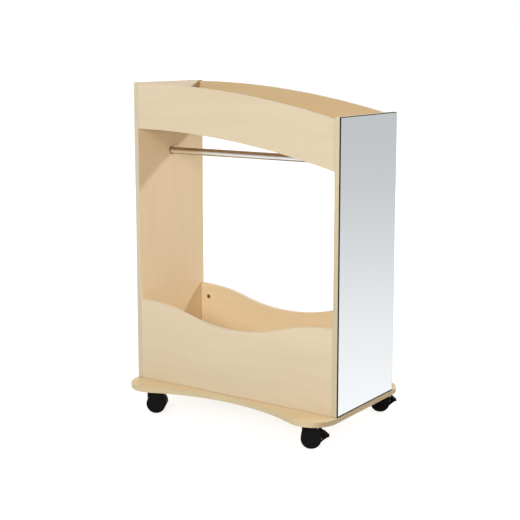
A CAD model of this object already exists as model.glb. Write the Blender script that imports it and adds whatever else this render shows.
"""Looks of a dressing-up storage unit: pale maple boards, a mirror on the low side, a chrome hanging rail
and black twin-wheel casters. Metres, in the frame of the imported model: +X towards the mirror, -Y the front.
All colours are linear."""
import math

import bpy
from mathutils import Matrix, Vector

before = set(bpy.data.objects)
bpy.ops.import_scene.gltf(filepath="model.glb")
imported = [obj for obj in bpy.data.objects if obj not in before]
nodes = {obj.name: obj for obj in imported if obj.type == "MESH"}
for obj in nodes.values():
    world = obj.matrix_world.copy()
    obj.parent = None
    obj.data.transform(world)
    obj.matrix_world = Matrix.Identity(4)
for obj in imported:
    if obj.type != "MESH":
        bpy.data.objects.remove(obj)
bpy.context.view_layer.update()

X, Y, Z = 0, 1, 2


# ---- shader helpers ----

BEVEL_SAMPLES = 6
NOOK_SAMPLES = 8
FACING = 0.5    # a face looks along an axis where its normal has more than this of it


class Tree:
    """A node tree that grows by short calls. Inputs are numbers, colours, vectors, nodes or sockets."""

    def __init__(self, owner):
        owner.use_nodes = True
        self.owner = owner
        self.tree = owner.node_tree
        self.tree.nodes.clear()

    def add(self, kind, inputs=None, **settings):
        node = self.tree.nodes.new("ShaderNode" + kind)
        for key, value in settings.items():
            setattr(node, key, value)
        for key, value in (inputs or {}).items():
            self.put(node.inputs[key], value)
        return node

    def put(self, socket, value):
        if isinstance(value, bpy.types.NodeSocket):
            self.tree.links.new(value, socket)
        elif isinstance(value, bpy.types.Node):
            self.tree.links.new(value.outputs[0], socket)
        elif isinstance(value, (tuple, list)) and len(value) == 3 and socket.type == "RGBA":
            socket.default_value = (*value, 1)
        else:
            socket.default_value = value

    def surface(self, shader, output="OutputMaterial"):
        """Ends the tree with this shader and returns what it belongs to."""
        self.add(output, {"Surface": shader})
        return self.owner

    def math(self, operation, a, b=0.0):
        return self.add("Math", {0: a, 1: b}, operation=operation).outputs[0]

    def mix(self, factor, a, b, blend="MIX"):
        node = self.add("Mix", data_type="RGBA", blend_type=blend)
        self.put(node.inputs["Factor"], factor)
        self.put(node.inputs[6], a)
        self.put(node.inputs[7], b)
        return node.outputs[2]

    def span(self, value, low, high, to_low=0.0, to_high=1.0):
        """The value's way from low to high, laid over to_low to to_high and held at both ends."""
        return self.add("MapRange", {"Value": value, "From Min": low, "From Max": high,
                                     "To Min": to_low, "To Max": to_high}).outputs[0]

    def tint(self, tone, other, value, low, high, most=1.0):
        """The tone, mixed with up to `most` of the other as the value goes from low to high."""
        return self.mix(self.span(value, low, high, 0.0, most), tone, other)

    def noise(self, vector, scale, detail=2.0, rough=0.5, distortion=0.0):
        """Noise around 0.5; its scale is one number, or one for each axis."""
        if isinstance(scale, (tuple, list)):
            vector = self.add("Mapping", {"Vector": vector, "Scale": scale})
            scale = 1.0
        return self.add("TexNoise", {"Vector": vector, "Scale": scale, "Detail": detail, "Roughness": rough,
                                     "Distortion": distortion}).outputs["Fac"]

    def coordinate(self, kind):
        return self.add("TexCoord").outputs[kind]

    def parts(self, vector):
        """The X, Y and Z of a vector."""
        return self.add("SeparateXYZ", {0: vector}).outputs

    def openness(self, reach):
        """1 in the open, and less the more stands within this reach."""
        return self.add("AmbientOcclusion", {"Distance": reach}, samples=NOOK_SAMPLES).outputs["AO"]

    def bump(self, height, strength, distance, normal=None):
        inputs = {"Height": height, "Strength": strength, "Distance": distance}
        if normal is not None:
            inputs["Normal"] = normal
        return self.add("Bump", inputs).outputs[0]


def material(name):
    """The node tree of a new material."""
    return Tree(bpy.data.materials.new(name))


def edge_mask(t, radius, worn):
    """Rounded normal near the edges, and a mask that is `worn` on them and 0 on the flats."""
    rounded = t.add("Bevel", {"Radius": radius}, samples=BEVEL_SAMPLES).outputs[0]
    flat = t.add("NewGeometry").outputs["Normal"]
    dot = t.add("VectorMath", {0: rounded, 1: flat}, operation="DOT_PRODUCT").outputs["Value"]
    return rounded, t.math("MULTIPLY", t.span(dot, 1.0, 0.8), worn)


# ---- boards ----

BOARDS = {  # node: (grain's axis, axis through the board)
    "base_board": (X, Z), "tray_floor": (X, Z),
    "tall_side_panel": (Z, X), "low_side_panel": (Z, X),
    "front_fascia": (X, Y), "back_fascia": (X, Y),
    "front_lower_panel": (X, Y), "back_lower_panel": (X, Y),
}

# Faces
FRONT_FACE = (0.80, 0.68, 0.495)
PLAIN_FACE = (0.81, 0.635, 0.40)    # for boards with no tone of their own
FACES = {
    "front_fascia": FRONT_FACE, "front_lower_panel": FRONT_FACE,
    "tall_side_panel": (0.83, 0.665, 0.43), "back_lower_panel": (0.91, 0.76, 0.51),
    "back_fascia": (0.76, 0.595, 0.365), "base_board": (0.93, 0.755, 0.475),
}
WARM = (0.93, 0.89, 0.83)           # the grain's darker parts against the face
PORE = (0.60, 0.455, 0.28)
RIM = (0.93, 0.84, 0.67)            # the eased rims of the faces
BOARD_EDGE = 0.0015                 # how far a board's edge looks rounded

# Grain: noise scales along it and across it, how far it sways, and where each board lies in the noise
SWAY_SCALE = (1.6, 5, 1)
FIGURE_SCALE = (2.2, 26, 1)
FIBRE_SCALE = (16, 620, 1)
PORE_SCALE = (70, 1500, 1)
CLOUD_SCALE = 2.6
SMEAR_SCALE = 7.0
SWAY = 0.05
FIRST_PLACE = 1.3
PLACE_STEP = 3.7

# Bandings on the boards' edges
PLAIN_BANDING = (0.80, 0.685, 0.49)
BANDINGS = {"low_side_panel": (0.66, 0.58, 0.39), "tall_side_panel": (0.69, 0.607, 0.455),
            "base_board": (0.722, 0.60, 0.370)}
TOP_BANDING = (0.91, 0.80, 0.61)    # where a banding looks up
MIRROR_SIDE = (0.66, 0.59, 0.51)    # how much darker a banding is where it faces the mirror's side
STREAK_SCALE = 9.0
STREAK = 0.92                       # its darker streaks against the banding

# How much paler or darker faces and bandings get with their height: (height, factor)
FACE_FADES = {
    "tall_side_panel": ((0.37, 1.065), (0.47, 1.03), (0.55, 1.0)),
    "front_lower_panel": ((0.11, 0.95), (0.19, 0.985), (0.26, 1.0), (0.34, 1.04)),
    "back_lower_panel": ((0.30, 1.06), (0.36, 1.0)),
}
BAND_FADES = {"tall_side_panel": ((0.36, 1.0), (0.46, 1.05)), "low_side_panel": ((0.55, 1.0), (0.85, 1.10))}

# Where boards meet
JOINT_SHADE = (0.30, 0.17, 0.07)
JOINT_REACH = 0.005
SEAM = 0.0012                       # width of the dark line at the ends of boards between the side panels
SEAM_DEPTH = 0.5

# Over the tray the tall panel is paler, with a shade near the back fascia under a line that falls forward
OVER_TRAY = 0.98                    # the height at which this starts
TRAY_LIGHT = (0.91, 0.84, 0.70)
TRAY_LIGHT_SHARE = 0.75
TRAY_SHADE = (0.32, 0.17, 0.06)
TRAY_SHADE_REACH = 0.12
TRAY_OPENNESS = (0.97, 0.72)        # where the shade starts and where it is full
SHADE_LINE = 1.039                  # the line's height at mid depth
SHADE_SLOPE = 0.43
SHADE_BLUR = 0.002
SHADE_HEIGHTS = (1.01, 1.08)        # between these it gets as much deeper as the depths say
SHADE_DEPTHS = (0.32, 0.72)


def faded(t, tone, height, steps):
    """The tone, made paler or darker with height, as the steps (height, factor) say."""
    factor = steps[0][1]
    for (low, before), (high, after) in zip(steps, steps[1:]):
        factor = t.math("ADD", factor, t.span(height, low, high, 0.0, after - before))
    return t.mix(1.0, tone, factor, "MULTIPLY")


def tray_corner(t, tone, place, facing):
    """The tall panel's tone, made pale on its inner face over the tray and dark in the nook there."""
    over_tray = t.math("GREATER_THAN", place[Z], OVER_TRAY)
    inside = t.math("MULTIPLY", over_tray, t.math("GREATER_THAN", facing[X], FACING))
    line = t.math("SUBTRACT", place[Z], t.math("MULTIPLY", place[Y], SHADE_SLOPE))
    under = t.span(line, SHADE_LINE + SHADE_BLUR, SHADE_LINE - SHADE_BLUR)
    shade = t.math("MULTIPLY", under, t.span(t.openness(TRAY_SHADE_REACH), *TRAY_OPENNESS))
    light = t.mix(shade, t.mix(TRAY_LIGHT_SHARE, tone, TRAY_LIGHT), tone)
    depth = t.math("MULTIPLY", shade, t.span(place[Z], *SHADE_HEIGHTS, *SHADE_DEPTHS))
    return t.mix(inside, tone, t.mix(depth, light, TRAY_SHADE))


def end_seams(t, tone, length):
    """The tone, with a thin dark line at both ends of a board that lies along X."""
    part = t.parts(t.coordinate("Generated"))[X]
    end = SEAM / length
    seam = t.math("ADD", t.math("LESS_THAN", part, end), t.math("GREATER_THAN", part, 1.0 - end))
    return t.mix(t.math("MULTIPLY", seam, SEAM_DEPTH), tone, JOINT_SHADE)


def grained(t, face, grain):
    """The tone of a face with its grain, and the fibre and the pores, which also give its relief."""
    aside = t.add("CombineXYZ", {"Y": t.math("MULTIPLY", t.noise(grain, SWAY_SCALE, detail=1.0), SWAY)})
    bent = t.add("VectorMath", {0: grain, 1: aside}, operation="ADD")
    figure = t.noise(bent, FIGURE_SCALE, detail=4.0, rough=0.55, distortion=0.6)
    fibre = t.noise(bent, FIBRE_SCALE, detail=3.0, rough=0.6)
    pores = t.noise(bent, PORE_SCALE, detail=1.0)
    cloud = t.noise(grain, CLOUD_SCALE, detail=2.0)
    warm = [share * level for share, level in zip(WARM, face)]
    tone = t.tint(face, warm, figure, 0.36, 0.68, most=0.5)
    tone = t.tint(tone, warm, cloud, 0.3, 0.7, most=0.22)
    tone = t.tint(tone, warm, fibre, 0.45, 0.8, most=0.16)
    return t.tint(tone, PORE, pores, 0.66, 0.74, most=0.22), fibre, pores


def banded(t, board, height, facing):
    """The tone of the plain banding on a board's edges."""
    banding = BANDINGS.get(board, PLAIN_BANDING)
    streak = t.noise(t.coordinate("Object"), STREAK_SCALE, detail=3.0)
    tone = t.tint(banding, [STREAK * level for level in banding], streak, 0.3, 0.7, most=0.3)
    if board in BAND_FADES:
        tone = faded(t, tone, height, BAND_FADES[board])
    tone = t.tint(tone, t.mix(1.0, tone, MIRROR_SIDE, "MULTIPLY"), facing[X], 0.45, 0.80)
    return t.tint(tone, TOP_BANDING, facing[Z], 0.5, 0.8)


def laminate(board, along, thick, seed):
    """Pale maple laminate. Grain runs along axis `along`; `thick` is the axis through the board."""
    t = material("laminate_" + board)
    place = t.parts(t.coordinate("Object"))
    facing = t.parts(t.coordinate("Normal"))
    across = ({X, Y, Z} - {along, thick}).pop()
    grain = t.add("CombineXYZ", {0: place[along], 1: place[across], 2: seed})
    tone, fibre, pores = grained(t, FACES.get(board, PLAIN_FACE), grain)
    if board in FACE_FADES:
        tone = faded(t, tone, place[Z], FACE_FADES[board])
    if board == "tall_side_panel":
        tone = tray_corner(t, tone, place, facing)
    if thick == Y:
        tone = end_seams(t, tone, nodes[board].dimensions[X])
    on_edge = t.math("LESS_THAN", t.math("ABSOLUTE", facing[thick]), FACING)
    tone = t.mix(on_edge, tone, banded(t, board, place[Z], facing))
    rounded, wear = edge_mask(t, BOARD_EDGE, worn=0.6)
    tone = t.mix(wear, tone, RIM)
    tone = t.tint(tone, JOINT_SHADE, t.openness(JOINT_REACH), 0.85, 0.45, most=0.4)
    relief = t.math("ADD", t.math("MULTIPLY", fibre, 0.7), t.math("MULTIPLY", pores, 0.3))
    smear = t.noise(grain, SMEAR_SCALE, detail=3.0)
    return t.surface(t.add("BsdfPrincipled", {
        "Base Color": tone, "Roughness": t.span(smear, 0.3, 0.7, 0.36, 0.5), "Specular IOR Level": 0.3,
        "Normal": t.bump(relief, strength=0.12, distance=0.0004, normal=rounded)}))


# ---- mirror ----

SILVER = (0.93, 0.95, 0.955)
EDGE_PAINTS = (0.030, 0.018, 0.010), (0.046, 0.028, 0.017)
BACKING_PAINTS = (0.020, 0.013, 0.008), (0.036, 0.024, 0.015)
# Width of the dark rim at the low and the high end of each axis
GLASS_RIMS = {Y: (0.0012, 0.0009), Z: (0.0040, 0.0012)}


def mirror_glass():
    """Silvered float glass: a clear mirror on its face, and dark painted edges that show through its rim."""
    t = material("mirror_silvered")
    face = t.math("GREATER_THAN", t.parts(t.coordinate("Normal"))[X], FACING)
    part = t.parts(t.coordinate("Generated"))
    size = nodes["mirror_glass"].dimensions
    for axis, (low, high) in GLASS_RIMS.items():
        face = t.math("MULTIPLY", face, t.math("GREATER_THAN", part[axis], low / size[axis]))
        face = t.math("MULTIPLY", face, t.math("LESS_THAN", part[axis], 1.0 - high / size[axis]))
    haze = t.noise(t.coordinate("Object"), 6.0, detail=4.0)
    silver = t.add("BsdfPrincipled", {"Base Color": SILVER, "Metallic": 1.0,
                                      "Roughness": t.span(haze, 0.4, 0.8, 0.008, 0.022)})
    grit = t.noise(t.coordinate("Object"), 240.0, detail=3.0)
    edge = t.add("BsdfPrincipled", {"Base Color": t.mix(grit, *EDGE_PAINTS), "Roughness": 0.45,
                                    "Specular IOR Level": 0.1})
    return t.surface(t.add("MixShader", {0: face, 1: edge, 2: silver}))


def painted_backing():
    """Dark brown protective paint on the mirror's back."""
    t = material("mirror_backing_paint")
    grit = t.noise(t.coordinate("Object"), 180.0, detail=4.0)
    return t.surface(t.add("BsdfPrincipled", {
        "Base Color": t.mix(grit, *BACKING_PAINTS), "Roughness": 0.5, "Specular IOR Level": 0.25,
        "Normal": t.bump(grit, strength=0.2, distance=0.0002)}))


# ---- metal, nylon and dowels ----

METAL_EDGE = 0.0004
ACROSS_POLISH = 900.0    # noise scale across the polishing lines
ALONG_POLISH = 14.0      # and along them
NYLON_EDGE = 0.0007
NYLON_WORN = 2.2         # how much paler its worn edges are
BEECH_TONES = (0.55, 0.36, 0.19), (0.70, 0.50, 0.30)


def metal(name, light, dark, rough, polish_axis=None, above=None, below=None):
    """Bare or plated metal with fine polishing lines, faint smudges and bright edges. `above` and `below`
    are its tones where it mirrors what lies close over it and under it, the tray and the bin."""
    t = material(name)
    place = t.coordinate("Object")
    stretch = [ALONG_POLISH if axis == polish_axis else ACROSS_POLISH for axis in (X, Y, Z)]
    lines = t.noise(place, stretch, detail=2.0)
    smudge = t.noise(place, 38.0, detail=4.0, rough=0.6)
    rounded, wear = edge_mask(t, METAL_EDGE, worn=0.5)
    tone = t.tint(light, dark, smudge, 0.35, 0.75, most=0.8)
    tone = t.mix(wear, tone, light)
    upward = t.parts(t.coordinate("Normal"))[Z]
    if above:
        tone = t.tint(tone, above, upward, 0.0, 0.3)
    if below:
        tone = t.tint(tone, below, upward, -0.5, -0.72)
    smeared = t.span(smudge, 0.3, 0.8, rough * 0.75, rough * 1.5)
    brushed = t.span(lines, 0.3, 0.7, 0.0, rough * 0.3)
    return t.surface(t.add("BsdfPrincipled", {
        "Base Color": tone, "Metallic": 1.0, "Roughness": t.math("ADD", smeared, brushed),
        "Normal": t.bump(lines, strength=0.05, distance=0.0001, normal=rounded)}))


def nylon(name, dark, light, rough):
    """Moulded black plastic: a fine spark-eroded grain, a little sheen and scuffed edges."""
    t = material(name)
    place = t.coordinate("Object")
    grain = t.noise(place, 1400.0, detail=2.0)
    scuff = t.noise(place, (60, 60, 140), detail=5.0, rough=0.65)
    rounded, wear = edge_mask(t, NYLON_EDGE, worn=0.55)
    tone = t.tint(dark, light, scuff, 0.45, 0.75)
    tone = t.mix(wear, tone, [NYLON_WORN * level for level in light])
    return t.surface(t.add("BsdfPrincipled", {
        "Base Color": tone, "Roughness": t.span(scuff, 0.3, 0.75, rough * 0.85, rough * 1.25),
        "Specular IOR Level": 0.1, "IOR": 1.1,
        "Normal": t.bump(grain, strength=0.25, distance=0.0001, normal=rounded)}))


def beech():
    """The plain wood of the hidden dowels."""
    t = material("dowel_beech")
    fleck = t.noise(t.coordinate("Object"), (40, 700, 700), detail=3.0)
    return t.surface(t.add("BsdfPrincipled", {
        "Base Color": t.mix(fleck, *BEECH_TONES), "Roughness": 0.6,
        "Normal": t.bump(fleck, strength=0.3, distance=0.0002)}))


# ---- what each piece wears ----

def dress(names, look):
    for name in names:
        mesh = nodes[name].data
        mesh.materials.clear()
        mesh.materials.append(look)


for number, (board, (along, thick)) in enumerate(BOARDS.items()):
    dress([board], laminate(board, along, thick, PLACE_STEP * number + FIRST_PLACE))
dress(["mirror_glass"], mirror_glass())
dress(["mirror_backing"], painted_backing())
dress(["hanging_rail"],
      metal("rail_chrome", light=(0.98, 0.95, 0.91), dark=(0.88, 0.84, 0.79), rough=0.07, polish_axis=X,
            above=(0.50, 0.41, 0.34), below=(0.36, 0.36, 0.36)))
dress(["left_rail_socket", "right_rail_socket"],
      metal("socket_chrome", light=(0.66, 0.51, 0.42), dark=(0.46, 0.345, 0.28), rough=0.14,
            above=(0.36, 0.26, 0.19)))
dress(["cam_locks"], metal("cam_zinc", light=(0.30, 0.25, 0.17), dark=(0.20, 0.16, 0.10), rough=0.45))
zinc = metal("zinc_plate", light=(0.62, 0.62, 0.60), dark=(0.48, 0.48, 0.47), rough=0.3)
dress(["rail_socket_screws", "cam_bolts", "base_screws", "caster_screws"], zinc)
dress(["wood_dowels"], beech())
hood_nylon = nylon("hood_nylon", dark=(0.0115, 0.0088, 0.0088), light=(0.017, 0.0135, 0.0135), rough=0.36)
wheel_nylon = nylon("wheel_nylon", dark=(0.0110, 0.0103, 0.0104), light=(0.0165, 0.0155, 0.0155), rough=0.42)
lever_nylon = nylon("lever_nylon", dark=(0.0085, 0.0078, 0.0078), light=(0.0135, 0.0125, 0.0125), rough=0.38)
for corner in ("front_left", "front_right", "back_left", "back_right"):
    caster = corner + "_caster_"
    dress([caster + "hood"], hood_nylon)
    dress([caster + "near_wheel", caster + "far_wheel"], wheel_nylon)
    dress([caster + "plate", caster + "kingpin", caster + "axle"], zinc)
    if corner + "_brake_lever" in nodes:
        dress([corner + "_brake_lever"], lever_nylon)
        dress([corner + "_brake_lever_pin"], zinc)


# ---- floor, world, lamps ----

WHITE = (1, 1, 1)
COOL = (0.972, 0.985, 1.0)          # what the mirror shows
HORIZON = 0.59                      # how bright the far floor and the wall look in the mirror
NEAR_GLOW = 0.52                    # what the floor close by adds to that
GLOW_REACH = 3.0                    # metres over which it fades
WALL_TOP = 0.95                     # how bright the wall looks higher up
AMBIENT_TINT = (1.0, 0.95, 0.88)
AMBIENT = 0.27                      # the world at the horizon and below
ZENITH = 0.52                       # and overhead
PAPER = (0.86, 0.86, 0.86)          # the floor as it throws light back
FAINT = (0.40, 0.40, 0.40)          # how much of the shadow on it the camera sees
FLOOR_REACH = 60.0
AIM = (0, 0, 0.6)                   # what the lamps point at


def seen_by(t):
    """1 for camera rays, and 1 for reflected or refracted ones."""
    path = t.add("LightPath").outputs
    return path["Is Camera Ray"], t.math("MAXIMUM", path["Is Glossy Ray"], path["Is Transmission Ray"])


def floor_material():
    """Paper that the camera sees as white with only a faint shadow, and the mirror as a cool glow."""
    t = material("floor_white")
    camera, mirrored = seen_by(t)
    away = t.add("VectorMath", {0: t.coordinate("Object")}, operation="LENGTH").outputs["Value"]
    fade = t.math("POWER", math.e, t.math("DIVIDE", away, -GLOW_REACH))
    level = t.math("ADD", t.math("MULTIPLY", fade, NEAR_GLOW), HORIZON)
    glow = t.add("Emission", {"Color": COOL, "Strength": level})
    paper = t.add("BsdfDiffuse", {"Color": PAPER})
    faint = t.add("BsdfDiffuse", {"Color": FAINT})
    white = t.add("Emission", {"Color": WHITE, "Strength": t.span(away, 1.5, 5.0, 0.80, 1.0)})
    shown = t.add("AddShader", {0: faint, 1: white})
    direct = t.add("MixShader", {0: camera, 1: paper, 2: shown})
    return t.surface(t.add("MixShader", {0: mirrored, 1: direct, 2: glow}))


def studio_world():
    """Soft light from all round. The camera sees it as white, and the mirror as a cool wall."""
    t = Tree(bpy.data.worlds.new("studio"))
    camera, mirrored = seen_by(t)
    height = t.parts(t.coordinate("Generated"))[Z]
    level = t.span(height, 0.0, 1.0, AMBIENT, ZENITH)
    soft = t.add("Background", {"Color": AMBIENT_TINT, "Strength": level})
    wall_level = t.span(height, 0.0, 0.8, HORIZON, WALL_TOP)
    wall = t.add("Background", {"Color": COOL, "Strength": wall_level})
    white = t.add("Background", {"Color": WHITE, "Strength": 1.0})
    inner = t.add("MixShader", {0: mirrored, 1: soft, 2: wall})
    return t.surface(t.add("MixShader", {0: camera, 1: inner, 2: white}), "OutputWorld")


def in_scene(name, data):
    """A new object that shows this data."""
    added = bpy.data.objects.new(name, data)
    bpy.context.scene.collection.objects.link(added)
    return added


def studio_floor():
    mesh = bpy.data.meshes.new("floor")
    corners = [(-FLOOR_REACH, -FLOOR_REACH, 0), (FLOOR_REACH, -FLOOR_REACH, 0),
               (FLOOR_REACH, FLOOR_REACH, 0), (-FLOOR_REACH, FLOOR_REACH, 0)]
    mesh.from_pydata(corners, [], [(0, 1, 2, 3)])
    mesh.materials.append(floor_material())
    return in_scene("floor", mesh)


def lamp(name, place, width, level, colour=WHITE, glossy=True):
    """A round area lamp; level is about what a white card that faces it at its aim shows."""
    data = bpy.data.lights.new(name, "AREA")
    data.shape, data.size, data.color = "DISK", width, colour
    way = Vector(AIM) - Vector(place)
    data.energy = level * math.pi ** 2 * way.length_squared
    lit = in_scene(name, data)
    lit.location = place
    lit.visible_glossy = glossy
    lit.rotation_euler = way.to_track_quat("-Z", "Y").to_euler()


floor = studio_floor()
bpy.context.scene.world = studio_world()
lamp("key_behind", (4.0, 2.66, 2.03), width=0.2, level=0.315, colour=(0.96, 1.0, 1.12), glossy=False)
lamp("front_box", (1.7, -5.6, 2.9), width=2.6, level=0.475, colour=(1.0, 1.0, 1.01))
lamp("back_box", (-3.6, 4.6, 2.4), width=2.6, level=0.35, glossy=False)


# ---- camera, at the photograph's viewing angle ----

IMAGE = 520.0         # the photograph's width in pixels
FOCAL_PX = 1144.09    # and its focal length
SENSOR = 36.0         # millimetres
SHIFT = -0.06
FAR_CLIP = 200.0
EYE = (2.12059, -3.10208, 1.22680)
DOWNWARD = 0.158146   # radians below the level
TURN = 0.602123       # radians from the front towards the mirror's side

camera_data = bpy.data.cameras.new("camera")
camera_data.sensor_width = SENSOR
camera_data.lens = SENSOR * FOCAL_PX / IMAGE
camera_data.shift_y = SHIFT
camera_data.clip_end = FAR_CLIP
camera = in_scene("camera", camera_data)
camera.location = EYE
camera.rotation_euler = (math.pi / 2 - DOWNWARD, 0.0, TURN)
bpy.context.scene.camera = camera
bpy.context.scene.view_settings.view_transform = "Standard"
